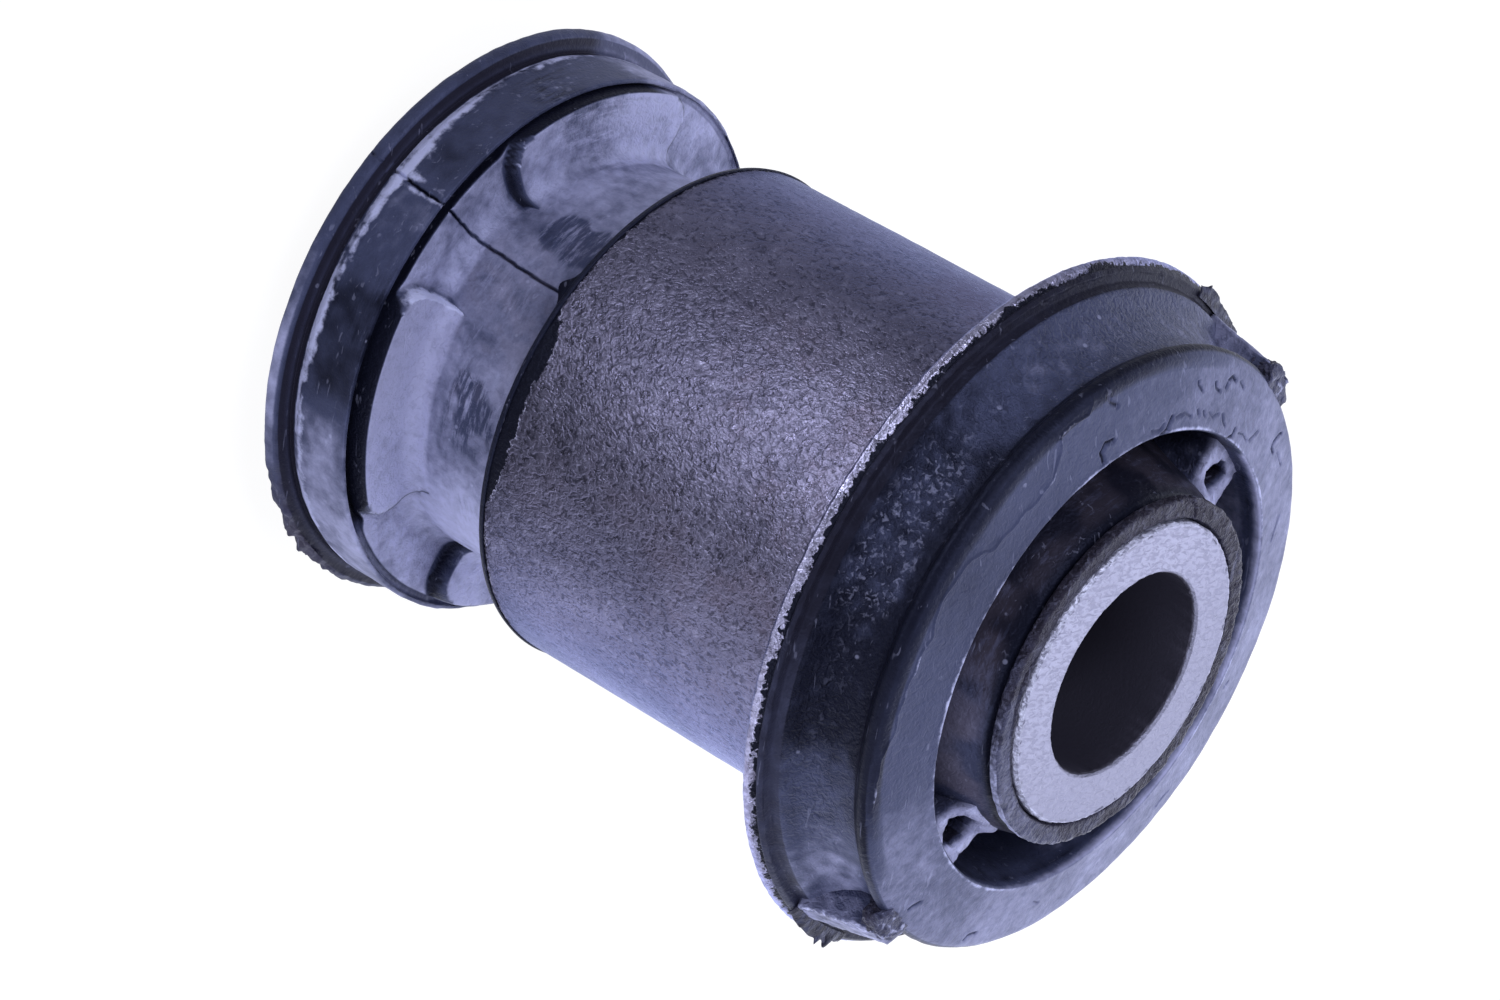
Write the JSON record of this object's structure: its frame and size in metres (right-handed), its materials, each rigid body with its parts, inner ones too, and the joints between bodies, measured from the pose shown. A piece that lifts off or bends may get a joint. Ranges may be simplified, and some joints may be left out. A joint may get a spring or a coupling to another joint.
{
  "type": "rubber metal bush",
  "caption": "Rubber bush bonded between a thick inner steel tube and a flanged outer steel sleeve, with a bump-stop ring at the front and a padded head at the rear.",
  "frame": {"origin": "centre of the inner sleeve's rear end, on which the bush stands", "axes": "+Z along the bore towards the flanged front end; the two collar ribs lie on X and the rear parting line on Y"},
  "size_m": [0.0484, 0.0484, 0.06],
  "materials": {
    "bare_steel": "shot-blasted, with a dull grain",
    "coated_steel": "dark phosphate coat with a fine orange-peel grain",
    "rubber": "moulded rubber with pale bloom and dust"
  },
  "bodies": {
    "root": {"inner_sleeve": "bare_steel", "outer_sleeve": "coated_steel", "rubber_body": "rubber"}
  },
  "joints": []
}
